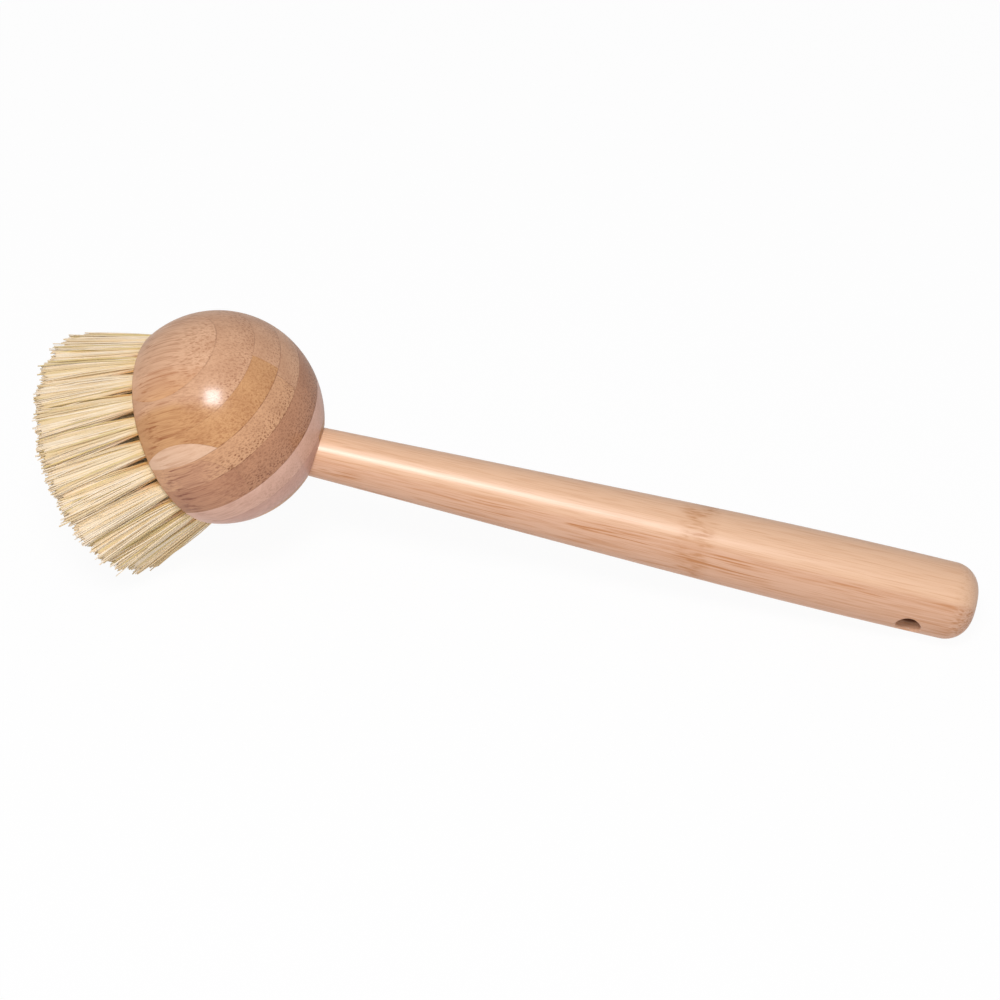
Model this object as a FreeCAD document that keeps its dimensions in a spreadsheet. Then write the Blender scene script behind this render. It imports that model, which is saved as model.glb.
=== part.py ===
import FreeCAD, Part
import math
import os

import Sketcher
from FreeCAD import Placement, Rotation, Vector

# A dish brush: a turned ball head glued up from bamboo strips, splayed fibre tufts
# stapled into its flat face, and a round tapered handle glued into a bore.
# Driving dimensions, in millimetres and degrees.
SIZES = {
    # turned ball head, measured from the ball's centre
    "ball_diameter": 54.8,
    "ball_side_radius": 26.0,
    "ball_back_radius": 34.0,
    "ball_back_depth": 27.0,
    "face_depth": 8.6,
    "rim_round": 1.3,
    # strips that the head is glued up from
    "strip_thickness": 6.6,
    "strip_width": 22.3,
    "core_thickness": 9.1,
    "core_shift": 0.95,
    "grain_turn": 5.8,
    "least_strip": 0.8,
    # fibre tufts, in rings about the middle of the face
    "ring_step": 5.7,
    "hole_diameter": 4.6,
    "hole_depth": 6.5,
    "splay_focus": 90.0,
    "tip_depth": 33.1,
    "tip_diameter": 6.6,
    "rest_flat": 1.0,
    # flat wire anchors that hold the folded tufts
    "anchor_thickness": 0.4,
    "anchor_height": 1.8,
    "fold_height": 1.2,
    # handle, measured from the ball's centre along its own line
    "bend_angle": 37.7,
    "handle_drop": 3.7,
    "neck_place": 25.6,
    "neck_diameter": 12.95,
    "mouth_round": 0.5,
    "tenon_length": 14.1,
    "tenon_chamfer": 1.0,
    "taper_length": 96.0,
    "taper_diameter": 18.5,
    "handle_length": 174.5,
    "end_diameter": 19.9,
    "end_round": 7.0,
    # hanging hole through the handle
    "hang_diameter": 6.4,
    "hang_inset": 16.0,
    "hang_round": 0.6,
    "hang_turn": 20.0,
    # clearances, and the length by which cutting solids run past what they cut
    "glue_gap": 0.1,
    "fibre_gap": 0.1,
    "anchor_gap": 0.05,
    "overrun": 5.0,
}
RING_COUNT = 4
TUFTS_PER_RING = 6

# Where the strip joints of each row lie, as shares of a strip's width from the middle:
# rows above the core from the core outward, the core, rows below it outward.
UPPER_SHIFT_SHARES = (0.117, 0.027, 0.65, 0.3)
CORE_SHIFT_SHARE = 0.1
LOWER_SHIFT_SHARES = (0.62, 0.2, 0.5, 0.5)

FULL_TURN = 360.0
RIGHT_ANGLE = 90.0
ALONG = Vector(1, 0, 0)
ACROSS = Vector(0, 1, 0)
UP = Vector(0, 0, 1)

doc = FreeCAD.newDocument("DishBrush")
sheet = doc.addObject("Spreadsheet::Sheet", "Sizes")
for row, (alias, value) in enumerate(SIZES.items(), start=1):
    sheet.set(f"A{row}", alias)
    sheet.set(f"B{row}", str(value))
    sheet.setAlias(f"B{row}", alias)
doc.recompute()
subparts = []


def size(alias):
    return float(sheet.get(alias))


def worked_out(expression):
    # The number that an expression on the sheet comes to.
    return float(sheet.evalExpression(expression))


def bind(item, **expressions):
    for name, expression in expressions.items():
        item.setExpression(name, expression)


def dimension(sketch, name, expression, kind, *elements):
    # A sketch dimension that follows an expression on the sheet.
    index = sketch.addConstraint(Sketcher.Constraint(kind, *elements, worked_out(expression)))
    sketch.renameConstraint(index, name)
    sketch.setExpression(f"Constraints.{name}", expression)


def origin_feature(body, role):
    return next(item for item in body.Origin.OriginFeatures if item.Role == role)


def new_sketch(body, name, place=Placement()):
    sketch = body.newObject("Sketcher::SketchObject", name)
    sketch.AttachmentSupport = [(origin_feature(body, "XZ_Plane"), "")]
    sketch.MapMode = "FlatFace"
    sketch.AttachmentOffset = place
    return sketch


def turn_profile(body, kind, name, sketch, axis):
    turned = body.newObject(kind, name)
    turned.Profile = sketch
    turned.ReferenceAxis = (sketch, [axis])
    turned.Angle = FULL_TURN
    doc.recompute()
    return turned


def round_edges(body, name, base, radius, wanted):
    # A fillet on the curved edges of a feature whose middle point is a wanted one.
    names = []
    for index, edge in enumerate(base.Shape.Edges, start=1):
        if edge.Degenerated or edge.Curve.TypeId == "Part::GeomLine":
            continue
        if wanted(edge.valueAt((edge.FirstParameter + edge.LastParameter) / 2)):
            names.append(f"Edge{index}")
    fillet = body.newObject("PartDesign::Fillet", name)
    fillet.Base = (base, names)
    bind(fillet, Radius=radius)
    doc.recompute()
    return fillet


def check_cut(name, before, after):
    if after.Shape.Volume >= before.Shape.Volume:
        raise RuntimeError(f"{name} cuts nothing")


def joined(kind, name, base, tool):
    result = doc.addObject(kind, name)
    result.Base = base
    result.Tool = tool
    result.Refine = False
    return result


def export(item, label, place):
    item.Label = label
    item.Placement = place
    subparts.append(item)


# Sizes worked out from the driving dimensions.
ball_radius = size("ball_diameter") / 2
bend = math.radians(size("bend_angle"))
handle_end = size("neck_place") + size("handle_length")
tenon_end = size("neck_place") - size("tenon_length")
outer_ring = RING_COUNT * size("ring_step")
tuft_reach = size("tip_depth") - size("face_depth")

# The handle's outline: a straight taper, then an arc that swells and falls to the end.
neck_radius = size("neck_diameter") / 2
taper_radius = size("taper_diameter") / 2
taper_end = size("neck_place") + size("taper_length")
end_radius = size("end_diameter") / 2
taper_slope = math.atan2(taper_radius - neck_radius, size("taper_length"))
swell_run = handle_end - taper_end
swell_rise = end_radius - taper_radius
swell_bow = swell_run * math.sin(taper_slope) - swell_rise * math.cos(taper_slope)
swell_radius = (swell_run ** 2 + swell_rise ** 2) / (2 * swell_bow)
swell_along = taper_end + swell_radius * math.sin(taper_slope)
swell_off = taper_radius - swell_radius * math.cos(taper_slope)

# Middle of the rounding at the handle's end, in the outline's plane.
round_along = handle_end - size("end_round")
round_reach = swell_radius - size("end_round")
round_rise = math.sqrt(round_reach ** 2 - (round_along - swell_along) ** 2)
round_off = swell_off + math.copysign(round_rise, swell_radius)

# Directions in the head's own frame: z out of the flat face, x up the bend plane.
handle_line = Vector(-math.sin(bend), 0, -math.cos(bend))
handle_down = Vector(-math.cos(bend), 0, math.sin(bend))
handle_start = handle_down * size("handle_drop")


def splay(ring):
    # How far the tufts of a ring lean outward.
    return math.atan2(ring * size("ring_step"), size("splay_focus"))


def rest_tilt():
    # The brush lies on its lowest tuft and on the rounded end of the handle.
    tip_radius = outer_ring * (1 + tuft_reach / size("splay_focus"))
    tip_radius += size("tip_diameter") / 2 / math.cos(splay(RING_COUNT))
    tip = Vector(-tip_radius, 0, size("tip_depth"))
    round_middle = handle_start + handle_line * round_along + handle_down * round_off
    span = round_middle - tip
    lift = (size("end_round") + size("rest_flat")) / math.hypot(span.x, span.z)
    tilt = -math.acos(lift) - math.atan2(span.z, span.x)
    return tilt, tip, round_middle


def head_place():
    # From the head's frame to the part's: resting on the table, with its box centred.
    tilt, tip, round_middle = rest_tilt()
    turned = Rotation(ACROSS, -RIGHT_ANGLE - math.degrees(tilt))
    end_middle = turned.multVec(round_middle)
    upper_end = round_middle - handle_down * (2 * round_off)
    far_end = turned.multVec(upper_end).x + size("end_round")
    upper_tip = turned.multVec(Vector(-tip.x, 0, tip.z)).x
    moved = Vector(-(far_end + upper_tip) / 2, 0, size("end_round") - end_middle.z)
    return Placement(moved, turned)


head_frame = head_place()
floor_frame = head_frame.inverse()


def turned_head():
    # The ball is turned about the z axis: a flatter back arc, a side arc and a flat face.
    body = doc.addObject("PartDesign::Body", "TurnedHead")
    back_middle = size("ball_back_radius") - size("ball_back_depth")
    side_middle_x = ball_radius - size("ball_side_radius")
    reach = size("ball_back_radius") - size("ball_side_radius")
    side_middle_z = back_middle - math.sqrt(reach ** 2 - side_middle_x ** 2)
    joint_turn = math.atan2(side_middle_z - back_middle, side_middle_x)
    face_turn = math.asin((size("face_depth") - side_middle_z) / size("ball_side_radius"))
    face_radius = side_middle_x + size("ball_side_radius") * math.cos(face_turn)

    sketch = new_sketch(body, "HeadOutline")
    back_circle = Part.Circle(Vector(0, back_middle, 0), UP, size("ball_back_radius"))
    side_circle = Part.Circle(Vector(side_middle_x, side_middle_z, 0), UP, size("ball_side_radius"))
    face_rim = Vector(face_radius, size("face_depth"), 0)
    face_middle = Vector(0, size("face_depth"), 0)
    back_pole = Vector(0, -size("ball_back_depth"), 0)
    sketch.addGeometry(Part.ArcOfCircle(back_circle, -math.pi / 2, joint_turn), False)
    sketch.addGeometry(Part.ArcOfCircle(side_circle, joint_turn, face_turn), False)
    sketch.addGeometry(Part.LineSegment(face_rim, face_middle), False)
    sketch.addGeometry(Part.LineSegment(face_middle, back_pole), False)
    sketch.addConstraint(Sketcher.Constraint("Tangent", 0, 2, 1, 1))
    sketch.addConstraint(Sketcher.Constraint("Coincident", 1, 2, 2, 1))
    sketch.addConstraint(Sketcher.Constraint("Coincident", 2, 2, 3, 1))
    sketch.addConstraint(Sketcher.Constraint("Coincident", 3, 2, 0, 1))
    sketch.addConstraint(Sketcher.Constraint("PointOnObject", 0, 3, -2))
    sketch.addConstraint(Sketcher.Constraint("PointOnObject", 0, 1, -2))
    sketch.addConstraint(Sketcher.Constraint("PointOnObject", 2, 2, -2))
    sketch.addConstraint(Sketcher.Constraint("Horizontal", 2))
    side_text = "Sizes.ball_diameter / 2 - Sizes.ball_side_radius"
    dimension(sketch, "back_arc", "Sizes.ball_back_radius", "Radius", 0)
    dimension(sketch, "side_arc", "Sizes.ball_side_radius", "Radius", 1)
    dimension(sketch, "back_depth", "Sizes.ball_back_depth", "DistanceY", 0, 1, -1, 1)
    dimension(sketch, "side_middle", side_text, "DistanceX", -1, 1, 1, 3)
    dimension(sketch, "face_place", "Sizes.face_depth", "DistanceY", -1, 1, 2, 2)
    ball = turn_profile(body, "PartDesign::Revolution", "Ball", sketch, "V_Axis")

    rim_low = size("face_depth") - size("rim_round")
    round_edges(body, "Rim", ball, "Sizes.rim_round",
                lambda spot: spot.z > rim_low and math.hypot(spot.x, spot.y) > face_radius / 2)
    drill_bore(body)
    for ring in range(RING_COUNT + 1):
        drill_ring(body, ring)
    return body


def drill(body, name, place, axis, left, right, low, high):
    # A rectangle beside an axis of its sketch, turned about that axis to cut a round hole.
    # Each side is an expression on the sheet, or none where it lies on the axis.
    edges = [worked_out(side) if side else 0 for side in (left, right, low, high)]
    corners = [
        Vector(edges[0], edges[2], 0),
        Vector(edges[1], edges[2], 0),
        Vector(edges[1], edges[3], 0),
        Vector(edges[0], edges[3], 0),
    ]
    sketch = new_sketch(body, name + "Outline", place)
    for index, corner in enumerate(corners):
        after = (index + 1) % len(corners)
        sketch.addGeometry(Part.LineSegment(corner, corners[after]), False)
    for index in range(len(corners)):
        after = (index + 1) % len(corners)
        sketch.addConstraint(Sketcher.Constraint("Coincident", index, 2, after, 1))
        sketch.addConstraint(Sketcher.Constraint("Vertical" if index % 2 else "Horizontal", index))
    dimension(sketch, "right_side", right, "DistanceX", -1, 1, 1, 2)
    dimension(sketch, "high_side", high, "DistanceY", -1, 1, 1, 2)
    if left:
        dimension(sketch, "left_side", left, "DistanceX", -1, 1, 0, 1)
    else:
        sketch.addConstraint(Sketcher.Constraint("PointOnObject", 0, 1, -2))
    if low:
        dimension(sketch, "low_side", low, "DistanceY", -1, 1, 0, 1)
    else:
        sketch.addConstraint(Sketcher.Constraint("PointOnObject", 0, 1, -1))
    before = body.Tip
    hole = turn_profile(body, "PartDesign::Groove", name, sketch, axis)
    check_cut(name, before, hole)
    return hole


def drill_bore(body):
    # The handle's blind bore, on the handle's own line, with a rounded mouth.
    foot = "Sizes.neck_place - Sizes.tenon_length - Sizes.glue_gap"
    radius = "Sizes.neck_diameter / 2 + Sizes.glue_gap"
    turned = Rotation(UP, -RIGHT_ANGLE - size("bend_angle"))
    place = Placement(Vector(handle_start.x, handle_start.z, 0), turned)
    bore = drill(body, "Bore", place, "H_Axis", foot, "Sizes.ball_diameter", None, radius)
    middle_depth = (size("neck_place") + tenon_end) / 2

    def on_mouth(spot):
        along = (spot - handle_start).dot(handle_line)
        away = (spot - handle_start - handle_line * along).Length
        return along > middle_depth and abs(away - worked_out(radius)) < size("glue_gap")

    round_edges(body, "Mouth", bore, "Sizes.mouth_round", on_mouth)


def drill_ring(body, ring):
    # One splayed tuft hole, repeated around the face.
    turned = Rotation(UP, -math.degrees(splay(ring)))
    place = Placement(Vector(ring * size("ring_step"), size("face_depth"), 0), turned)
    hole = drill(body, f"TuftHole{ring}", place, "V_Axis",
                 None, "Sizes.hole_diameter / 2", "-Sizes.hole_depth", "Sizes.overrun")
    if ring == 0:
        return
    pattern = body.newObject("PartDesign::PolarPattern", f"TuftHoles{ring}")
    pattern.Originals = [hole]
    pattern.Axis = (origin_feature(body, "Z_Axis"), [""])
    pattern.Angle = FULL_TURN
    pattern.Occurrences = ring * TUFTS_PER_RING
    body.Tip = pattern
    doc.recompute()
    check_cut(pattern.Name, hole, pattern)


def strip_rows():
    # Rows of strips from the top of the ball to its bottom: low edge, high edge, joint share.
    core_low = size("core_shift") - size("core_thickness") / 2
    core_high = size("core_shift") + size("core_thickness") / 2
    above = []
    edge = core_low
    while edge > -ball_radius + size("least_strip"):
        share = UPPER_SHIFT_SHARES[min(len(above), len(UPPER_SHIFT_SHARES) - 1)]
        above.append((edge - size("strip_thickness"), edge, share))
        edge -= size("strip_thickness")
    below = []
    edge = core_high
    while edge < ball_radius - size("least_strip"):
        share = LOWER_SHIFT_SHARES[min(len(below), len(LOWER_SHIFT_SHARES) - 1)]
        below.append((edge, edge + size("strip_thickness"), share))
        edge += size("strip_thickness")
    return list(reversed(above)) + [(core_low, core_high, CORE_SHIFT_SHARE)] + below


def strip_joints(low, high, share):
    # Joints of one row that leave no strip thinner than the least one.
    nearest = 0 if low < 0 < high else min(abs(low), abs(high))
    half_chord = math.sqrt(ball_radius ** 2 - nearest ** 2)
    limit = half_chord - size("least_strip")
    joint = share * size("strip_width")
    while joint - size("strip_width") > -limit:
        joint -= size("strip_width")
    joints = []
    while joint < limit:
        joints.append(joint)
        joint += size("strip_width")
    return joints


def sawn_block(name, low, high, left, right):
    # A block between four planes along the grain, longer than the ball both ways.
    across_grain = Placement(Vector(), Rotation(UP, 2 * RIGHT_ANGLE - size("grain_turn")))
    corner = Vector(low, left, -size("ball_diameter"))
    block = doc.addObject("Part::Box", name)
    block.Length = high - low
    block.Width = right - left
    bind(block, Height="2 * Sizes.ball_diameter")
    block.Placement = across_grain * Placement(corner, Rotation())
    return block


def cut_strips(head):
    # Each strip is what the turned and drilled ball leaves of one sawn strip.
    outside = ball_radius + size("overrun")
    rows = strip_rows()
    for row, (low, high, share) in enumerate(rows, start=1):
        joints = strip_joints(max(low, -ball_radius), min(high, ball_radius), share)
        low = -outside if row == 1 else low
        high = outside if row == len(rows) else high
        slab = sawn_block(f"Slab_{row}", low, high, -outside, outside)
        layer = joined("Part::Common", f"Layer_{row}", head, slab)
        edges = [-outside] + joints + [outside]
        for column in range(1, len(edges)):
            label = f"head_strip_{row}_{column}"
            sawn = sawn_block("Sawn_" + label, -outside, outside, edges[column - 1], edges[column])
            export(joined("Part::Common", "Strip_" + label, layer, sawn), label, head_frame)


def tuft_place(ring, turn):
    # From a tuft's own frame, z along the tuft and the origin on the face, to the head's frame.
    radius = ring * size("ring_step")
    root = Vector(radius * math.cos(turn), radius * math.sin(turn), size("face_depth"))
    leaning = Rotation(UP, math.degrees(turn)) * Rotation(ACROSS, math.degrees(splay(ring)))
    return Placement(root, leaning)


def trim_block(name, frame, low):
    # A block that takes away all that lies above one level of a frame.
    reach = "Sizes.handle_length + Sizes.ball_diameter"
    block = doc.addObject("Part::Box", name)
    bind(block, Length=f"2 * ({reach})", Width=f"2 * ({reach})", Height=reach)
    corner = Vector(-worked_out(reach), -worked_out(reach), low)
    block.Placement = frame * Placement(corner, Rotation())
    return block


def make_anchor(name, place):
    # A short flat wire across the foot of the hole, with the tuft folded round it.
    chord = "2 * sqrt((Sizes.hole_diameter / 2) ^ 2 - (Sizes.anchor_thickness / 2) ^ 2)"
    width = f"{chord} - 2 * Sizes.anchor_gap"
    anchor = doc.addObject("Part::Box", "Anchor_" + name)
    bind(anchor, Length="Sizes.anchor_thickness", Width=width, Height="Sizes.anchor_height")
    height = size("fold_height") - size("hole_depth")
    foot = Vector(-size("anchor_thickness") / 2, -worked_out(width) / 2, height)
    anchor.Placement = place * Placement(foot, Rotation())
    return anchor


def make_tuft(name, ring, turn, trim):
    # A root that fills its hole, a flare to the tip, trimmed by the tip plane and the table.
    place = tuft_place(ring, turn)
    root_radius = "Sizes.hole_diameter / 2 - Sizes.fibre_gap"
    lean = f"sqrt(1 + ({ring} * Sizes.ring_step / Sizes.splay_focus) ^ 2)"
    reach = f"(Sizes.tip_depth - Sizes.face_depth) * {lean}"
    widening = f"(Sizes.tip_diameter / 2 - {root_radius}) / ({reach})"
    root = doc.addObject("Part::Cylinder", "Root_" + name)
    bind(root, Radius=root_radius, Height="Sizes.hole_depth")
    root.Placement = place * Placement(Vector(0, 0, -size("hole_depth")), Rotation())
    flare = doc.addObject("Part::Cone", "Flare_" + name)
    bind(flare, Radius1=root_radius, Height=f"{reach} + Sizes.overrun",
         Radius2=f"Sizes.tip_diameter / 2 + Sizes.overrun * {widening}")
    flare.Placement = place
    whole = joined("Part::Fuse", "Whole_" + name, root, flare)
    trimmed = joined("Part::Cut", "Trimmed_" + name, whole, trim)
    anchor = make_anchor(name, place)
    return joined("Part::Cut", "Tuft_" + name, trimmed, anchor), anchor


def make_tufts():
    # The outer ring's tufts are sub-parts of their own, an inner ring's tufts share one.
    tip_block = trim_block("TipBlock", Placement(), size("tip_depth"))
    upside_down = floor_frame * Placement(Vector(), Rotation(ALONG, 2 * RIGHT_ANGLE))
    floor_block = trim_block("FloorBlock", upside_down, 0)
    trim = joined("Part::Fuse", "TrimBlocks", tip_block, floor_block)
    anchors = []
    for ring in range(RING_COUNT, -1, -1):
        count = max(ring * TUFTS_PER_RING, 1)
        group = []
        for index in range(count):
            turn = 2 * math.pi * index / count
            tuft, anchor = make_tuft(f"{ring}_{index + 1}", ring, turn, trim)
            anchors.append(anchor)
            group.append(tuft)
        if ring == RING_COUNT:
            for index, tuft in enumerate(group, start=1):
                export(tuft, f"tuft_{index:02d}", head_frame)
        else:
            bundle = doc.addObject("Part::Compound", f"TuftRing{ring}")
            bundle.Links = group
            export(bundle, f"tuft_ring_{RING_COUNT + 1 - ring}" if ring else "tuft_centre", head_frame)
    staples = doc.addObject("Part::Compound", "Anchors")
    staples.Links = anchors
    export(staples, "tuft_anchors", head_frame)


def handle_outline(body):
    # Tenon, straight taper and a long swelling arc, above the handle's own x axis.
    points = [
        Vector(tenon_end, 0, 0),
        Vector(tenon_end, neck_radius - size("tenon_chamfer"), 0),
        Vector(tenon_end + size("tenon_chamfer"), neck_radius, 0),
        Vector(size("neck_place"), neck_radius, 0),
        Vector(taper_end, taper_radius, 0),
        Vector(handle_end, end_radius, 0),
        Vector(handle_end, 0, 0),
    ]
    arc = 4
    swell = Part.Circle(Vector(swell_along, swell_off, 0), UP, abs(swell_radius))
    swell_start = math.atan2(taper_radius - swell_off, taper_end - swell_along)
    swell_end = math.atan2(end_radius - swell_off, handle_end - swell_along)
    # An arc that bulges outward runs from the handle's end back to the taper.
    backward = swell_radius > 0
    starts = {arc: 2 if backward else 1}
    ends = {arc: 1 if backward else 2}
    sketch = new_sketch(body, "HandleOutline")
    for index, point in enumerate(points):
        if index == arc:
            line = Part.ArcOfCircle(swell, *sorted((swell_start, swell_end)))
        else:
            line = Part.LineSegment(point, points[(index + 1) % len(points)])
        sketch.addGeometry(line, False)
    for index in range(len(points)):
        after = (index + 1) % len(points)
        kind = "Tangent" if after == arc else "Coincident"
        meeting = (index, ends.get(index, 2), after, starts.get(after, 1))
        sketch.addConstraint(Sketcher.Constraint(kind, *meeting))
    sketch.addConstraint(Sketcher.Constraint("PointOnObject", 0, 1, -1))
    sketch.addConstraint(Sketcher.Constraint("PointOnObject", 6, 1, -1))
    foot = "Sizes.neck_place - Sizes.tenon_length"
    far_end = "Sizes.neck_place + Sizes.handle_length"
    places = (
        ("tenon_foot", 1, 1, foot, "Sizes.neck_diameter / 2 - Sizes.tenon_chamfer"),
        ("tenon", 2, 1, foot + " + Sizes.tenon_chamfer", "Sizes.neck_diameter / 2"),
        ("neck", 3, 1, "Sizes.neck_place", "Sizes.neck_diameter / 2"),
        ("taper", 3, 2, "Sizes.neck_place + Sizes.taper_length", "Sizes.taper_diameter / 2"),
        ("end", 5, 1, far_end, "Sizes.end_diameter / 2"),
    )
    for name, line, point, along, radius in places:
        dimension(sketch, name + "_along", along, "DistanceX", -1, 1, line, point)
        dimension(sketch, name + "_radius", radius, "DistanceY", -1, 1, line, point)
    dimension(sketch, "tenon_middle", foot, "DistanceX", -1, 1, 0, 1)
    dimension(sketch, "end_middle", far_end, "DistanceX", -1, 1, 6, 1)
    return sketch


def make_handle():
    # The handle is turned, rounded at its end and drilled across for hanging.
    body = doc.addObject("PartDesign::Body", "Handle")
    outline = handle_outline(body)
    turned = turn_profile(body, "PartDesign::Revolution", "Turned", outline, "H_Axis")
    ended = round_edges(body, "End", turned, "Sizes.end_round",
                        lambda spot: spot.x > handle_end - size("glue_gap"))

    hang_place = handle_end - size("hang_inset")
    hang_radius = size("hang_diameter") / 2
    sketch = new_sketch(body, "HangOutline")
    sketch.addGeometry(Part.Circle(Vector(hang_place, 0, 0), UP, hang_radius), False)
    sketch.addConstraint(Sketcher.Constraint("PointOnObject", 0, 3, -1))
    hang_text = "Sizes.neck_place + Sizes.handle_length - Sizes.hang_inset"
    dimension(sketch, "hang_place", hang_text, "DistanceX", -1, 1, 0, 3)
    dimension(sketch, "hang_radius", "Sizes.hang_diameter / 2", "Radius", 0)
    drilled = body.newObject("PartDesign::Pocket", "HangingHole")
    drilled.Profile = sketch
    drilled.Type = "ThroughAll"
    drilled.SideType = "Symmetric"
    doc.recompute()
    check_cut("HangingHole", ended, drilled)

    def on_hole(spot):
        return abs(math.hypot(spot.x - hang_place, spot.z) - hang_radius) < size("glue_gap")

    body.Tip = round_edges(body, "HoleRound", drilled, "Sizes.hang_round", on_hole)
    along_line = Rotation(ACROSS, RIGHT_ANGLE + size("bend_angle"))
    rolled = Rotation(ALONG, size("hang_turn"))
    export(body, "handle", head_frame * Placement(handle_start, along_line * rolled))


def check_document():
    for item in doc.Objects:
        if "Invalid" in item.State or "Error" in item.State:
            raise RuntimeError(f"{item.Label} failed: {item.State}")
    for item in subparts:
        if item.Shape.isNull() or not item.Shape.isValid() or not item.Shape.Solids:
            raise RuntimeError(f"{item.Label} has no valid solid")


make_handle()
cut_strips(turned_head())
make_tufts()
doc.recompute()
check_document()
os.makedirs("parts", exist_ok=True)
for subpart in subparts:
    subpart.Shape.exportStep(f"parts/{subpart.Label}.step")
    print(f"{subpart.Label}: {len(subpart.Shape.Solids)} solid(s), {subpart.Shape.Volume:.1f} mm3")
print(f"{len(subparts)} sub-parts, resting tilt {math.degrees(rest_tilt()[0]):.2f} degrees")
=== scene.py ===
import math

import bpy
import numpy as np
from mathutils import Matrix, Vector


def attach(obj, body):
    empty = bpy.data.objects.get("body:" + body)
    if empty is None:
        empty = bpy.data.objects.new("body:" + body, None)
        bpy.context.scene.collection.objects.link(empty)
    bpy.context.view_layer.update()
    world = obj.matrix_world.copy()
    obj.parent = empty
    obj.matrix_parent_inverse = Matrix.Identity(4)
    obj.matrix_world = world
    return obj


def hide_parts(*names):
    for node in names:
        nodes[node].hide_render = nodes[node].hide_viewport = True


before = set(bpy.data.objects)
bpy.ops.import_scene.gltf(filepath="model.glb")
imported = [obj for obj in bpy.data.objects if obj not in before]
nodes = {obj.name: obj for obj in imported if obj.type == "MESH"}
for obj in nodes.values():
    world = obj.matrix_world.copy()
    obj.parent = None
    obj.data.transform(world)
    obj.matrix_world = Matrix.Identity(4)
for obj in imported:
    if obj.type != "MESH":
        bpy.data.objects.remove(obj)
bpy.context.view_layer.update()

perMetre = 1000  # places are in millimetres until Blender gets them
reliefDepth = 0.0001
lacquer = {"Specular IOR Level": 0.03, "Coat IOR": 2.3}  # the gloss is all in the coat
print("frame loaded,", len(nodes), "nodes")


def tint(red, green, blue):  # a screen colour, as a shader wants it
    def straight(value):
        share = value / 255
        return share / 12.92 if share < 0.04045 else ((share + 0.055) / 1.055) ** 2.4
    return (straight(red), straight(green), straight(blue), 1)


class Wire:  # a socket that sums can be written with
    def __init__(self, finish, socket):
        self.finish = finish
        self.socket = socket

    def maths(self, operation, *values):
        return self.finish.node("ShaderNodeMath", {"operation": operation}, dict(enumerate(values)))

    def __add__(self, other):
        return self.maths("ADD", self, other)

    def __radd__(self, other):
        return self.maths("ADD", other, self)

    def __sub__(self, other):
        return self.maths("SUBTRACT", self, other)

    def __rsub__(self, other):
        return self.maths("SUBTRACT", other, self)

    def __mul__(self, other):
        return self.maths("MULTIPLY", self, other)

    def __abs__(self):
        return self.maths("ABSOLUTE", self)

    def most(self, other):
        return self.maths("MAXIMUM", self, other)

    def rise(self, low, high):  # 0 below low, 1 above high, smooth between; falls if low is the larger
        limits = {"Value": self, "From Min": low, "From Max": high}
        return self.finish.node("ShaderNodeMapRange", {"interpolation_type": "SMOOTHSTEP"}, limits)


class Finish:  # a material, or the world, and its nodes
    def __init__(self, name, owner=None):
        self.owner = owner or bpy.data.materials.new(name)
        self.owner.use_nodes = True
        self.tree = self.owner.node_tree
        self.tree.nodes.clear()

    def node(self, kind, settings, inputs, output=0):
        made = self.tree.nodes.new(kind)
        for name, value in settings.items():
            setattr(made, name, value)
        for name, value in inputs.items():
            if isinstance(value, Wire):
                self.tree.links.new(value.socket, made.inputs[name])
            else:
                made.inputs[name].default_value = value
        return Wire(self, made.outputs[output]) if made.outputs else None

    def place(self, axis, centre):  # millimetres along an axis from a centre
        point = self.node("ShaderNodeTexCoord", {}, {}, "Object")
        reach = {0: point, 1: tuple(axis * perMetre)}
        along = self.node("ShaderNodeVectorMath", {"operation": "DOT_PRODUCT"}, reach, "Value")
        return along - axis.dot(centre)

    def spot(self, x, y, z=0.0):
        return self.node("ShaderNodeCombineXYZ", {}, {"X": x, "Y": y, "Z": z})

    def noise(self, where, scale, detail=2.0):
        values = {"Vector": where, "Scale": scale, "Detail": detail}
        return self.node("ShaderNodeTexNoise", {"noise_dimensions": "3D"}, values)

    def cells(self, where, scale):
        values = {"Vector": where, "Scale": scale}
        return self.node("ShaderNodeTexVoronoi", {"voronoi_dimensions": "2D"}, values, "Distance")

    def mix(self, share, first, second):  # by number, since the node has its sockets once for each type
        return self.node("ShaderNodeMix", {"data_type": "RGBA"}, {0: share, 6: first, 7: second}, 2)

    def bump(self, height, strength):
        values = {"Height": height, "Strength": strength, "Distance": reliefDepth}
        return self.node("ShaderNodeBump", {}, values)

    def close(self, values):  # the shader and the output
        shader = self.node("ShaderNodeBsdfPrincipled", {}, values)
        self.node("ShaderNodeOutputMaterial", {}, {"Surface": shader})
        return self.owner


ball = {
    "centre": Vector((-76.53, 0, 43.36)),
    "out": Vector((-0.8759, 0, -0.4825)).normalized(),  # out of the flat face
    "up": Vector((-0.4825, 0, 0.8759)).normalized(),  # square to it, in the plane of the handle's bend
    "side": Vector((0, 1, 0)),
    "grainTurn": math.radians(5.8),
}
layerDown = ball["side"] * math.sin(ball["grainTurn"]) - ball["up"] * math.cos(ball["grainTurn"])
layerAcross = -ball["up"] * math.sin(ball["grainTurn"]) - ball["side"] * math.cos(ball["grainTurn"])

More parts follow.
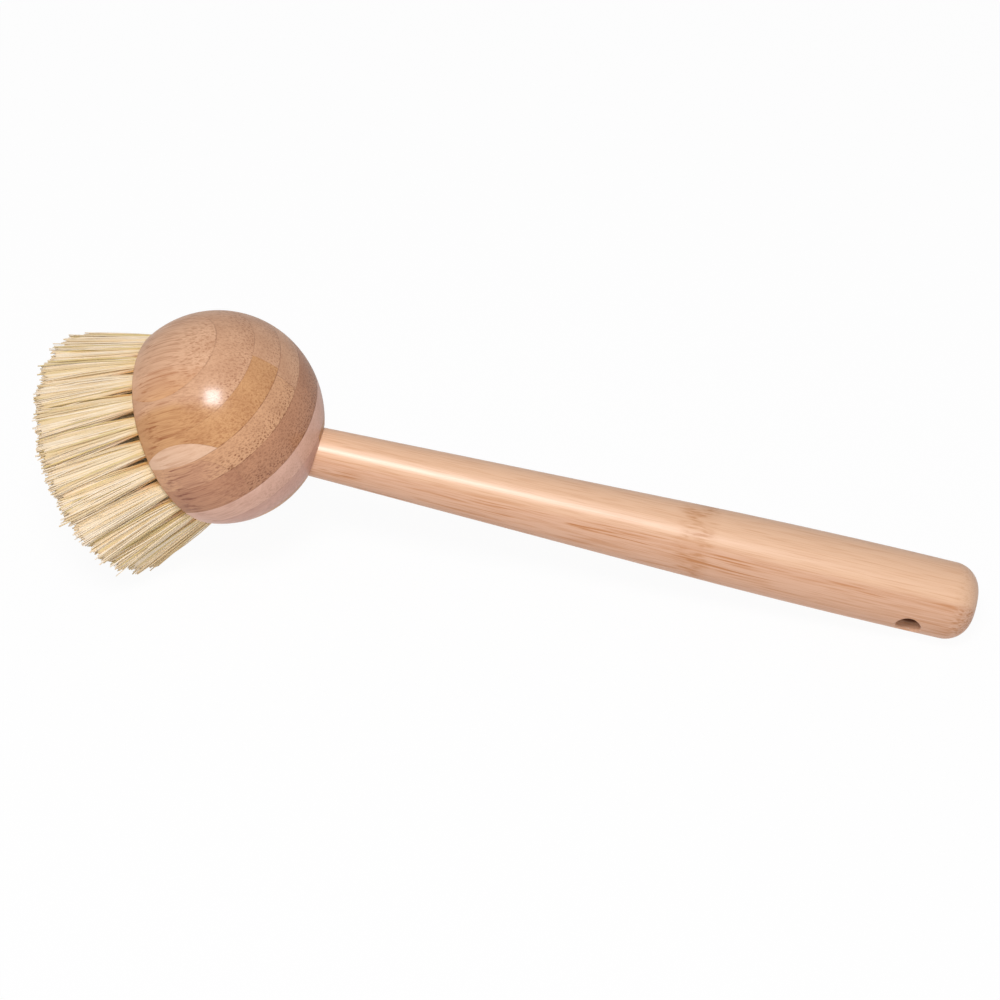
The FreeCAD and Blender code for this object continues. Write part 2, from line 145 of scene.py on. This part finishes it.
bamboo = {  # each tone: body colour, dark vein, strength of pores and of streaks
    "top": {"body": tint(226, 180, 143), "vein": tint(164, 108, 70), "pores": 0.65, "streaks": 0.65},
    "tan": {"body": tint(216, 169, 132), "vein": tint(152, 97, 62), "pores": 0.75, "streaks": 0.75},
    "amber": {"body": tint(216, 163, 114), "vein": tint(168, 104, 58), "pores": 0.55, "streaks": 0.85},
    "gold": {"body": tint(208, 157, 107), "vein": tint(152, 90, 48), "pores": 0.6, "streaks": 1.05},
    "cream": {"body": tint(228, 189, 157), "vein": tint(190, 138, 102), "pores": 0.15, "streaks": 0.6},
    "dotted": {"body": tint(214, 164, 123), "vein": tint(138, 86, 52), "pores": 1.0, "streaks": 0.55},
    "brown": {"body": tint(193, 140, 104), "vein": tint(120, 70, 46), "pores": 0.95, "streaks": 0.75},
    "ruddy": {"body": tint(194, 141, 111), "vein": tint(136, 82, 60), "pores": 0.6, "streaks": 1.05},
    "rosy": {"body": tint(228, 184, 161), "vein": tint(168, 116, 92), "pores": 0.4, "streaks": 0.5},
    # partly painted shade: the rosy tone made darker for a strip low on the near side of the ball, where
    # shade falls
    "shadedMauve": {"body": tint(216, 170, 150), "vein": tint(150, 104, 88), "pores": 0.4, "streaks": 0.5},
}
headBlock = {
    "lines": (-40.0, -23.4, -16.8, -10.2, -3.6, 5.5, 12.1, 18.7, 25.3, 40.0),  # glue lines between layers
    "joints": (  # glue lines inside each layer, from the far side to the near side
        (6.7,), (-7.8, 14.5), (-21.7, 0.6, 22.9), (-19.7, 2.6, 24.9), (-20.1, 2.2, 24.5),
        (-8.5, 13.8), (-17.8, 4.5), (-11.15, 11.15), (),
    ),
    "jointStrengths": (  # how dark each of those is
        (0.1,), (0.3, 0.15), (0.5, 0.2, 0.5), (0.5, 1.0, 0.4), (0.5, 0.6, 0.15),
        (0.3, 0.2), (0.5, 0.4), (0.5, 0.5), (),
    ),
    "tones": (  # a tone for each strip of each layer, in the same order
        ("top", "amber"), ("tan", "tan", "gold"), ("gold", "tan", "gold", "cream"),
        ("tan", "tan", "dotted", "ruddy"), ("brown", "brown", "brown", "ruddy"),
        # the last strip of the seventh layer takes that darker tone, painted shade of the ball's lower edge
        ("rosy", "rosy", "rosy"), ("tan", "dotted", "shadedMauve"), ("dotted", "tan", "dotted"), ("tan",),
    ),
    "strengths": (0, 0.5, 0.45, 0.9, 1.0, 1.0, 0.35, 0.5, 0.5, 0),  # how dark each of the layers' lines is
    "blends": {"1_2": 9.0, "2_3": 3.0, "4_4": 5.0, "5_4": 9.0},  # how far the neighbour's tone runs on
    "far": 60.0,  # well outside the ball
    "glue": tint(122, 74, 44),
    "glueHalf": 0.17,  # a line ends this far from its middle
    "glueFull": 0.03,  # and is at its darkest here
    "grainShift": 7.3,  # no two strips share a stretch of grain
}


def stripFinish(row, column):
    label = f"{row + 1}_{column + 1}"
    tones = [bamboo[key] for key in headBlock["tones"][row]]
    tone = tones[column]
    low, high = (-headBlock["far"], *headBlock["joints"][row], headBlock["far"])[column:column + 2]
    lowGlue, highGlue = (0, *headBlock["jointStrengths"][row], 0)[column:column + 2]
    finish = Finish("bambooStrip_" + label)
    down = finish.place(layerDown, ball["centre"])
    across = finish.place(layerAcross, ball["centre"])
    out = finish.place(ball["out"], ball["centre"])
    shift = row * headBlock["grainShift"] + low
    wander = finish.noise(finish.spot(down * 0.1 + shift, across * 0.1, out * 0.05), 1.0) - 0.5
    rim = out.rise(-9, 4)  # the sides, where the grain lies along the surface
    section = finish.spot(down + wander * 3 + shift, across + wander * 2)
    coarse = finish.cells(section, 1.15).rise(0.36, 0.12)
    fine = finish.cells(section, 2.1).rise(0.36, 0.14)
    dash = finish.noise(finish.spot(down * 1.35 + wander * 3, across * 1.35 + shift, out * 0.045), 1.0, 3.0)
    hair = finish.noise(finish.spot(down * 4.5, across * 4.5 + shift, out * 0.14), 1.0, 2.0)
    broad = finish.noise(finish.spot(down * 0.16, across * 0.16 + shift, out * 0.1), 1.0, 2.0)
    top, bottom = headBlock["lines"][row], headBlock["lines"][row + 1]
    dense = ((down - top) * (1 / (bottom - top))).rise(0.1, 1.0) * 0.6 + 0.4  # more pores lower down
    plain = 1 - out.rise(3.5, 7.0) * 0.7  # the rounded rim is smoother
    pores = (coarse * 0.65 + fine * 0.5) * dense * tone["pores"] * (1 - rim * 0.6) * plain
    veins = dash.rise(0.48, 0.68) * (0.25 + rim * 0.6) + hair.rise(0.45, 0.75) * 0.35
    veins = veins * tone["streaks"] * plain
    above, below = headBlock["strengths"][row], headBlock["strengths"][row + 1]

    def glueLine(away, strength):
        return away.rise(headBlock["glueHalf"], headBlock["glueFull"]) * strength

    layerEdge = glueLine(down - top, above).most(glueLine(bottom - down, below))
    jointEdge = glueLine(across - low, lowGlue).most(glueLine(high - across, highGlue))
    worn = finish.noise(finish.spot(down, across, out), 0.35, 2.0).rise(0.3, 0.7)
    glue = layerEdge.most(jointEdge * 0.8) * (worn * 0.55 + 0.15 + fine * 0.3)
    glue = glue * (1 - out.rise(-13, -1) * 0.8)
    peel = finish.noise(finish.spot(down, across, out), 1.3, 2.0)  # the lacquer isn't quite even
    body = tone["body"]
    if label in headBlock["blends"]:
        own = (across + wander * 6).rise(low, low + headBlock["blends"][label])
        body = finish.mix(own, tones[column - 1]["body"], body)
    colour = finish.mix(broad.rise(0.3, 0.75) * 0.25, body, tone["vein"])
    colour = finish.mix(veins, colour, tone["vein"])
    colour = finish.mix(pores, colour, tone["vein"])
    colour = finish.mix(glue, colour, headBlock["glue"])
    return finish.close({
        "Base Color": colour,
        "Roughness": 0.4 + veins * 0.15 + pores * 0.2,
        "Coat Weight": 0.19,
        "Coat Roughness": 0.21,
        "Normal": finish.bump(1 - pores - glue - veins * 0.5 + peel * 0.15, 0.35),
        **lacquer,
    })


def paint(node, material):
    nodes[node].data.materials.clear()
    nodes[node].data.materials.append(material)


for row, rowTones in enumerate(headBlock["tones"]):
    for column in range(len(rowTones)):
        paint(f"head_strip_{row + 1}_{column + 1}", stripFinish(row, column))
print("head strips finished")


handle = {
    "line": Vector((0.988082, 0, -0.153929)),
    "rise": Vector((0.153929, 0, 0.988082)),
    "drop": 3.7,  # how far its middle line passes under the ball's centre
    "slatTurn": math.radians(43.7),  # how far the slat is turned about the handle's own line
    "body": tint(231, 188, 152),
    "lower": tint(214, 168, 138),
    "vein": tint(182, 116, 58),
    "scar": tint(184, 122, 68),
    # the drilled wall's colour: unlacquered wood, made dark as painted shade inside the hole
    "rawInShade": tint(84, 42, 24),
    "knuckle": 126.0,  # where the cane had its knuckle
    "knuckleHalf": 6.5,
    "endGrain": (188, 196),  # where the pores of the end begin, and are all there
    "holeCentre": Vector((104.805, 0, 11.364)),
    "holeLine": Vector((0.052647, 0.939693, 0.337944)),
    "holeRound": (11.3, 10.5),  # square of the radius where the drilled wall begins, and is all there
    "holeDepth": 7.6,  # the drilled wall is painted dark, as shade deep in the hole, nearer than this to the middle
    "holeFade": 1.0,
}
handleStart = ball["centre"] - handle["rise"] * handle["drop"]


def handleFinish():
    finish = Finish("bambooHandle")
    slatUp = handle["rise"] * math.cos(handle["slatTurn"]) + ball["side"] * math.sin(handle["slatTurn"])
    along = finish.place(handle["line"], handleStart)
    deep = finish.place(slatUp, handleStart)
    wide = finish.place(handle["line"].cross(slatUp), handleStart)
    wander = finish.noise(finish.spot(along * 0.012, deep * 0.12, wide * 0.12), 1.0, 2.0) - 0.5
    layer = deep + wander * 4
    lower = layer.rise(0.6, -2.4)  # the hard outer side of the cane
    lowest = layer.rise(-4.5, -8.5)
    streak = finish.noise(finish.spot(along * 0.028, deep * 2.2 + wander * 8, wide * 1.1), 1.0, 3.0)
    cluster = finish.noise(finish.spot(along * 0.05, deep * 0.45 + wander * 2, wide * 0.4), 1.0, 2.0)
    hair = finish.noise(finish.spot(along * 0.08, deep * 3.4, wide * 2.4), 1.0, 3.0)
    veins = streak.rise(0.47, 0.64) * (0.25 + cluster.rise(0.44, 0.6) * 0.75) * lower * (1 - lowest * 0.6)
    hairs = hair.rise(0.42, 0.75) * (0.3 + lower * 0.15)
    section = finish.spot(deep + wander, wide)
    dots = finish.cells(section, 1.2).rise(0.38, 0.14) * layer.rise(-0.5, -2.2)
    dots = dots * along.rise(*handle["endGrain"])
    bend = finish.noise(finish.spot(along * 0.1, deep * 0.25, wide * 0.25), 1.0) - 0.5
    band = abs(along - handle["knuckle"] + bend * 6).rise(handle["knuckleHalf"], 1.0)
    patch = finish.noise(finish.spot(along * 0.15, deep * 0.25, wide * 0.25), 1.0).rise(0.36, 0.6)
    nick = finish.noise(finish.spot(along * 0.22, deep * 2.0 + bend * 4, wide * 2.0), 1.0, 3.0)
    scar = band * patch * nick.rise(0.4, 0.68)
    holeSide = handle["holeLine"].cross(handle["line"]).normalized()
    holeFront = handle["holeLine"].cross(holeSide)
    sideways = finish.place(holeSide, handle["holeCentre"])
    forward = finish.place(holeFront, handle["holeCentre"])
    inward = abs(finish.place(handle["holeLine"], handle["holeCentre"]))
    drilled = (sideways * sideways + forward * forward).rise(*handle["holeRound"])
    # painted shade: the wall deep in the hole is painted dark; it is also bare of lacquer
    bore = drilled * inward.rise(handle["holeDepth"], handle["holeDepth"] - handle["holeFade"])
    peel = finish.noise(finish.spot(along * 0.45, deep * 1.6, wide * 1.6), 1.0, 2.0)
    colour = finish.mix(lower * 0.8, handle["body"], handle["lower"])
    colour = finish.mix(veins * 0.85, colour, handle["vein"])
    colour = finish.mix(hairs, colour, handle["vein"])
    colour = finish.mix(dots * 0.6, colour, handle["vein"])
    colour = finish.mix(band * 0.12, colour, handle["vein"])
    colour = finish.mix(scar * 0.85, colour, handle["scar"])
    colour = finish.mix(bore * 0.85, colour, handle["rawInShade"])
    relief = 1 - scar * 0.4 - veins * 0.4 - hairs * 0.4 - dots * 0.3 + peel * 0.3
    return finish.close({
        "Base Color": colour,
        "Roughness": 0.42 + veins * 0.12 + scar * 0.2 + bore * 0.3,
        "Coat Weight": 0.27 - bore * 0.27,
        "Coat Roughness": 0.32,
        "Normal": finish.bump(relief, 0.3),
        **lacquer,
    })


paint("handle", handleFinish())
print("handle finished")


tufts = {
    "rings": 4,
    "perRing": 6,
    "ringStep": 5.7,
    "face": 8.6,
    "tips": 33.1,
    "focus": 90.0,
    "sunk": 1.8,  # how far the fibres start down the hole
    "root": (1.7, 1.95),  # half the bundle's width at the hole, outward and sideways
    "tip": (4.0, 4.15),  # and at the tips
    "opens": (1.4, 0.85),  # how late it opens
    "longer": 1.4,  # loose fibres reach past the solid tuft
    "tilt": 0.9,  # the upper tufts are longer by this, the lower ones shorter
    "inward": 0.5,  # the bundles press against the inner side of their holes
    "droop": 1.9,  # how far the upper tips hang
    "thin": 0.14,  # half the thinnest fibre's width
    "thick": 0.25,
    "ringTurn": 6.0,  # each fibre's section is turned by up to this
    "thinner": 0.12,  # share of its width that a fibre loses by its tip
    "uneven": 0.06,
    "crowding": 0.28,  # a low power, so most of the fibres are on the outside
    "spiral": 2.39996,  # turn from one fibre to the next
    "spiralLoose": 0.25,
    "ragged": 0.6,
    "raggedMost": 1.1,
    "bow": 0.35,
    "flareLoose": 0.07,
    "stray": 0.05,  # share of the fibres that stand out
    "strayLonger": 0.8,
    "strayFlare": (0.1, 0.2),  # mean and spread
    "counts": (90, 90, 90, 110, 235),  # fibres of a tuft, from the middle ring outward
    "stops": 6,
    "sides": 5,
    "packed": 0.95,  # share of the bundle's width that is packed solid
    "packedSides": 72,
    "packedLoose": 0.02,
    "packedShort": 1.5,
    "packedEnds": (0.4, 1.2),  # least and most of that, round its end
    "lidShort": 1.5,  # the lid's share of it
    "lid": 0.97,  # the lid's share of the packed width
    "packedTone": 0.85,
    "floorGap": (0.05, 0.5),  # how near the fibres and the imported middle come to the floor
    "seed": 29,
}


def lifted(points, lowest):  # what would be under the floor lies on it
    upward = np.array([ball[key].z for key in ("up", "side", "out")])
    level = points @ upward + ball["centre"].z
    if points.ndim == 4:
        level = level.min(axis=-1, keepdims=True)  # a fibre's ring keeps its shape
    return points + np.maximum(lowest - level, 0)[..., None] * upward


def growTuft(ring, turn, chance):  # one tuft's fibres and its packed middle, in the ball's directions
    count, stops, sides = tufts["counts"][ring], tufts["stops"], tufts["sides"]
    ringShare = ring / tufts["rings"]
    lean = math.atan2(ring * tufts["ringStep"], tufts["focus"])
    outward = np.array((math.cos(turn), math.sin(turn), 0))
    sideways = np.array((-math.sin(turn), math.cos(turn), 0))
    line = outward * math.sin(lean) + np.array((0, 0, math.cos(lean)))
    face = outward * math.cos(lean) - np.array((0, 0, math.sin(lean)))
    root = outward * (ring * tufts["ringStep"] - tufts["inward"] * ringShare)
    root[2] = tufts["face"]
    full = (tufts["tips"] - tufts["face"] + tufts["longer"]) / math.cos(lean)
    full += tufts["tilt"] * math.cos(turn) * ringShare
    lengthShare = np.linspace(0, 1, stops)

    def strands(length, flare, offFace, offSide, bow):  # middle lines, one row of points each
        steps = -tufts["sunk"] + lengthShare * (length[:, None] + tufts["sunk"])
        reach = np.clip(steps / full, 0, 1)
        wave = np.sin(np.pi * lengthShare)
        sizes = zip(tufts["root"], tufts["tip"], tufts["opens"])
        widths = [low + (high * flare[:, None] - low) * reach ** late for low, high, late in sizes]
        lift = offFace[:, None] * widths[0] + bow[:, :1] * wave
        drift = offSide[:, None] * widths[1] + bow[:, 1:] * wave
        lines = root + steps[..., None] * line + lift[..., None] * face + drift[..., None] * sideways
        lines[..., 0] -= tufts["droop"] * (1 + math.cos(turn)) / 2 * reach ** tufts["opens"][0] * ringShare
        return lines

    index = np.arange(count)
    spread = ((index + 0.5) / count) ** tufts["crowding"]
    angle = index * tufts["spiral"] + chance.normal(0, tufts["spiralLoose"], count)
    stray = chance.random(count) < tufts["stray"]
    ragged = np.minimum(chance.normal(0, tufts["ragged"], count), tufts["raggedMost"])
    length = full + ragged + stray * tufts["strayLonger"]
    flare = 1 + chance.normal(0, tufts["flareLoose"], count)
    flare = flare + stray * chance.normal(*tufts["strayFlare"], count)
    bow = chance.normal(0, tufts["bow"], (count, 2))
    offSide = spread * np.sin(angle)
    middle = strands(length, flare, spread * np.cos(angle), offSide, bow)
    around = np.linspace(0, 2 * np.pi, sides, endpoint=False)
    around = around + chance.random(count)[:, None] * tufts["ringTurn"]
    half = chance.uniform(tufts["thin"], tufts["thick"], count)
    uneven = 1 + chance.normal(0, tufts["uneven"], (count, stops))
    swell = half[:, None] * (1 - tufts["thinner"] * lengthShare) * uneven
    ringOut = np.cos(around)[:, None, :, None] * face + np.sin(around)[:, None, :, None] * sideways
    tubes = middle[:, :, None, :] + swell[:, :, None, None] * ringOut

    many = tufts["packedSides"]
    edgeAngle = np.linspace(0, 2 * np.pi, many, endpoint=False)
    edgeSpread = tufts["packed"] * (1 + chance.normal(0, tufts["packedLoose"], many))
    short = full - tufts["packedShort"] * chance.uniform(*tufts["packedEnds"], many)
    still = np.zeros((many, 2))
    even = np.ones(many)
    edge = np.array((np.cos(edgeAngle), np.sin(edgeAngle))) * edgeSpread
    lidEdge = edge * tufts["lid"]
    lidLength = np.full(many, full - tufts["packedShort"] * tufts["lidShort"])
    fibreGap, packedGap = tufts["floorGap"]
    return {
        "tubes": lifted(tubes, fibreGap),
        "core": lifted(strands(short, even, *edge, still), packedGap),
        "lid": lifted(strands(lidLength, even, *lidEdge, still)[:, -1], packedGap),
        # how far each fibre, and each column of the packed middle, faces a neighbouring tuft: the mask for
        # the painted shade between the tufts
        "tubeShade": np.abs(offSide),
        "coreShade": np.abs(np.sin(edgeAngle)),
    }


bakeMap = {  # shares of the texture's height and of a fibre's column
    "foot": 0.02,
    "tall": 0.9,
    "cutMiddle": 0.965,
    "cutHalf": 0.025,
    "cutWide": 0.45,
    "fibreMargin": 0.08,
    "packedMargin": 0.1,
}
cutAlong = 1.2  # past the tip's 1, so that the material can tell a cut end


def fibreMesh(name, bundles, chance):  # tubes with a cut end, one texture column for each fibre
    corners, faces, uvs, along, tone, flankShade = [], [], [], [], [], []
    columns = sum(len(bundle["tubes"]) + len(bundle["core"]) for bundle in bundles)
    column = 0

    def addTube(rings, lid, left, right):  # rings of points, open at the root, with a lid for the cut end
        start = len(corners)
        stops, sides, _ = rings.shape
        corners.extend(rings.reshape(-1, 3).tolist())
        corners.extend(lid.tolist())
        for stop in range(stops - 1):
            low, high = (bakeMap["foot"] + bakeMap["tall"] * end / (stops - 1) for end in (stop, stop + 1))
            for side in range(sides):
                first, second = (start + stop * sides + end % sides for end in (side, side + 1))
                near, far = (left + (right - left) * end / sides for end in (side, side + 1))
                faces.append((first, second, second + sides, first + sides))
                uvs.extend(((near, low), (far, low), (far, high), (near, high)))
        faces.append(tuple(start + stops * sides + side for side in range(sides)))
        for side in range(sides):
            turn = 2 * math.pi * side / sides
            near = (left + right) / 2 + (right - left) * bakeMap["cutWide"] * math.cos(turn)
            uvs.append((near, bakeMap["cutMiddle"] + bakeMap["cutHalf"] * math.sin(turn)))
        along.extend(np.repeat(np.linspace(0, 1, stops), sides).tolist() + [cutAlong] * sides)

    for bundle in bundles:
        for tube, shade in zip(bundle["tubes"], bundle["tubeShade"]):
            margin = bakeMap["fibreMargin"]
            addTube(tube, tube[-1], (column + margin) / columns, (column + 1 - margin) / columns)
            points = (tube.shape[0] + 1) * tube.shape[1]
            tone.extend([chance.random()] * points)
            flankShade.extend([shade] * points)
            column += 1
        core = bundle["core"].transpose(1, 0, 2)
        rows, many, _ = core.shape
        margin = bakeMap["packedMargin"]
        addTube(core, bundle["lid"], (column + margin) / columns, (column + many - margin) / columns)
        tone.extend(np.tile(chance.random(many) * tufts["packedTone"], rows + 1).tolist())
        flankShade.extend(np.tile(bundle["coreShade"], rows + 1).tolist())
        column += many
    basis = np.array((ball["up"], ball["side"], ball["out"]))
    corners = (np.array(corners) @ basis + np.array(ball["centre"])) / perMetre
    mesh = bpy.data.meshes.new(name)
    mesh.from_pydata(corners.tolist(), [], faces)
    mesh.uv_layers.new(name="OFBake").data.foreach_set("uv", np.array(uvs, np.float32).ravel())
    mesh.polygons.foreach_set("use_smooth", np.ones(len(faces), bool))
    # each point also gets how far its fibre faces a neighbouring tuft, the mask for the painted shade
    # between the tufts
    for label, values in (("fibreAlong", along), ("fibreTone", tone), ("fibreFlankShade", flankShade)):
        attribute = mesh.attributes.new(label, "FLOAT", "POINT")
        attribute.data.foreach_set("value", np.array(values, np.float32))
    piece = bpy.data.objects.new(name, mesh)
    bpy.context.scene.collection.objects.link(piece)
    return piece


fibreTones = {  # pale, with amber painted shade on the tufts' flanks near their roots, in the gaps between the tufts
    "straw": tint(229, 204, 157),
    "cream": tint(246, 230, 203),
    # the roots' tones: partly the fibres' own warmer roots, partly painted shade for the gaps between the
    # tufts, the inner tufts' amber most of all
    "outerRoot": tint(236, 204, 146),
    "innerRootShade": tint(230, 180, 100),
    "olive": tint(218, 200, 138),
    # painted shade: the amber of the tufts' flanks near their roots, where the gaps between the tufts are
    "amber": tint(206, 146, 64),
    # the cut ends' colour, also laid on the last of each fibre as painted shade at the tips
    "cut": tint(190, 156, 132),
}


def fibreFinish(name, root, rootEnd):
    finish = Finish(name)
    along = finish.node("ShaderNodeAttribute", {"attribute_name": "fibreAlong"}, {}, "Fac")
    tone = finish.node("ShaderNodeAttribute", {"attribute_name": "fibreTone"}, {}, "Fac")
    flankShade = finish.node("ShaderNodeAttribute", {"attribute_name": "fibreFlankShade"}, {}, "Fac")
    point = finish.node("ShaderNodeTexCoord", {}, {}, "Object")
    fleck = finish.noise(point, 260.0, 3.0)
    colour = finish.mix(tone.rise(0.05, 0.8), fibreTones["straw"], fibreTones["cream"])
    colour = finish.mix(tone.rise(0.16, 0.1) * 0.6, colour, fibreTones["olive"])
    colour = finish.mix(fleck.rise(0.5, 0.8) * 0.35, colour, fibreTones["straw"])
    # partly painted shade: the roots are warmer, and on the inner tufts, seen only down the gaps between
    # the outer ones, the amber runs most of their length
    colour = finish.mix(along.rise(rootEnd, 0.0) * 0.6, colour, root)
    # painted shade: a tuft's flanks turn amber near the root, as the gaps between the tufts look in shade
    colour = finish.mix(along.rise(0.5, 0.1) * flankShade.rise(0.75, 1.0) * 0.85, colour, fibreTones["amber"])
    # partly painted shade: the cut ends are darker, and each fibre darkens a little just before its tip
    cut = along.rise(0.96, 1.0) * 0.15 + along.rise(1.05, 1.1) * 0.6
    colour = finish.mix(cut, colour, fibreTones["cut"])
    return finish.close({
        "Base Color": colour,
        "Roughness": 0.5 + fleck * 0.2,
        "Specular IOR Level": 0.2,
        "Normal": finish.bump(fleck, 0.2),
    })


outerFibre = fibreFinish("plantFibreOuter", fibreTones["outerRoot"], 0.3)
# the inner tufts show only down the gaps, so their painted root shade runs most of their length
innerFibre = fibreFinish("plantFibreInner", fibreTones["innerRootShade"], 0.9)
chance = np.random.default_rng(tufts["seed"])


def growRing(ring):
    places = range(tufts["perRing"] * ring) if ring else range(1)
    return [growTuft(ring, 2 * math.pi * place / len(places), chance) for place in places]


def dressTufts(name, bundles, node, finish):
    piece = fibreMesh(name, bundles, chance)
    piece.data.materials.append(finish)
    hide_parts(node)
    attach(piece, "root")


for place, bundle in enumerate(growRing(tufts["rings"]), start=1):
    dressTufts(f"fibres_{place:02d}", [bundle], f"tuft_{place:02d}", outerFibre)
for ring in range(tufts["rings"] - 1, 0, -1):
    label = tufts["rings"] + 1 - ring
    dressTufts(f"fibres_ring_{label}", growRing(ring), f"tuft_ring_{label}", innerFibre)
dressTufts("fibres_centre", growRing(0), "tuft_centre", innerFibre)
print("fibres grown")


wire = {"steel": tint(170, 168, 164), "dark": tint(112, 108, 104)}


def wireFinish():
    finish = Finish("anchorWire")
    point = finish.node("ShaderNodeTexCoord", {}, {}, "Object")
    drawn = finish.noise(point, 900.0, 3.0)
    colour = finish.mix(drawn.rise(0.35, 0.7), wire["steel"], wire["dark"])
    return finish.close({"Base Color": colour, "Metallic": 1.0, "Roughness": 0.3 + drawn * 0.2})


paint("tuft_anchors", wireFinish())
print("anchors finished")


studio = {
    "keyPower": 4.55,
    "keySize": (0.24, 0.22),
    "keyDistance": 0.85,
    "keyRise": math.radians(20),  # above the camera's own line
    "keyTurn": 0.0,
    "keyTint": (1.0, 0.985, 1.0),
    "frontPower": 4.6,
    "frontSize": (0.15, 0.15),
    "frontDistance": 1.5,
    "frontRise": math.radians(-1.5),
    "frontTurn": math.radians(4.5),
    "frontTint": (1.0, 0.99, 1.0),
    "fill": 0.25,
    "fillTint": (0.95, 0.95, 1.05, 1),
    "floor": tint(244, 243, 242),
    "floorHalf": 6.0,
    "floorGlow": 0.95,  # how much of the floor's look is plain white
}
shot = {
    "turn": math.radians(9.25),
    "height": math.radians(44.13),
    "distance": 800.0,
    "lens": 112.5,
    "roll": math.radians(0.45),
    "scale": 3.902,  # pixels to a millimetre at the ball
    "lensScale": 3.906,  # and with that lens alone
    "ball": (217.3, 417.9),  # where the ball's centre is in the picture
    "middle": 500,  # the picture's middle, across and down
    "clip": (0.01, 50),
}


def aimed(back, place, roll=0.0):  # a frame that looks along -back
    right = Vector((0, 0, 1)).cross(back).normalized()
    up = back.cross(right)
    level = Matrix((right, up, back)).transposed().to_4x4()
    return Matrix.Translation(place) @ level @ Matrix.Rotation(roll, 4, "Z")


back = Vector((
    math.sin(shot["turn"]) * math.cos(shot["height"]),
    -math.cos(shot["turn"]) * math.cos(shot["height"]),
    math.sin(shot["height"]),
))
right, up = (aimed(back, Vector(), shot["roll"]).col[axis].to_3d() for axis in (0, 1))
shiftRight, shiftDown = ((place - shot["middle"]) / shot["scale"] for place in shot["ball"])
seat = ball["centre"] + back * shot["distance"] - right * shiftRight + up * shiftDown
camera = bpy.data.objects.new("camera", bpy.data.cameras.new("camera"))
camera.data.lens = shot["lens"] * shot["scale"] / shot["lensScale"]
camera.data.clip_start, camera.data.clip_end = shot["clip"]
camera.matrix_world = aimed(back, seat / perMetre, shot["roll"])
bpy.context.scene.collection.objects.link(camera)
bpy.context.scene.camera = camera


def hangLight(name):  # a soft panel that faces the ball, placed from the camera's own line
    rise, turn = studio[name + "Rise"], studio[name + "Turn"]
    toward = (back * math.cos(rise) + up * math.sin(rise) + right * math.sin(turn)).normalized()
    lamp = bpy.data.objects.new(name, bpy.data.lights.new(name, "AREA"))
    lamp.data.shape = "RECTANGLE"
    lamp.data.size, lamp.data.size_y = studio[name + "Size"]
    lamp.data.energy = studio[name + "Power"]
    lamp.data.color = studio[name + "Tint"]
    place = ball["centre"] / perMetre + toward * studio[name + "Distance"]
    lamp.matrix_world = aimed(toward, place)
    bpy.context.scene.collection.objects.link(lamp)
    return lamp


hangLight("key")
hangLight("front").visible_glossy = False  # it opens the shade and leaves one highlight


def seenPlain(finish):  # 1 for rays that should meet a plain white ground
    seen = finish.node("ShaderNodeLightPath", {}, {}, "Is Camera Ray")
    gloss = finish.node("ShaderNodeLightPath", {}, {}, "Is Glossy Ray")
    through = finish.node("ShaderNodeLightPath", {}, {}, "Is Transmission Ray")
    return seen.most(gloss).most(through)


def lightRoom():
    world = bpy.data.worlds.new("room")
    bpy.context.scene.world = world
    finish = Finish("room", world)
    plain = seenPlain(finish)
    colour = finish.mix(plain, studio["fillTint"], (1, 1, 1, 1))
    strength = plain * (1 - studio["fill"]) + studio["fill"]
    glow = finish.node("ShaderNodeBackground", {}, {"Color": colour, "Strength": strength})
    finish.node("ShaderNodeOutputWorld", {}, {"Surface": glow})


def layFloor():
    half = studio["floorHalf"]
    mesh = bpy.data.meshes.new("floor")
    corners = [(-half, -half, 0), (half, -half, 0), (half, half, 0), (-half, half, 0)]
    mesh.from_pydata(corners, [], [(0, 1, 2, 3)])
    floor = bpy.data.objects.new("floor", mesh)
    bpy.context.scene.collection.objects.link(floor)
    finish = Finish("paleFloor")
    matt = finish.node("ShaderNodeBsdfDiffuse", {}, {"Color": studio["floor"]})
    glow = finish.node("ShaderNodeEmission", {}, {"Color": (1, 1, 1, 1), "Strength": 1.0})
    share = seenPlain(finish) * studio["floorGlow"]
    both = finish.node("ShaderNodeMixShader", {}, {0: share, 1: matt, 2: glow})
    finish.node("ShaderNodeOutputMaterial", {}, {"Surface": both})
    mesh.materials.append(finish.owner)


lightRoom()
layFloor()
bpy.context.scene.view_settings.view_transform = "Standard"
print("camera, light and floor set")
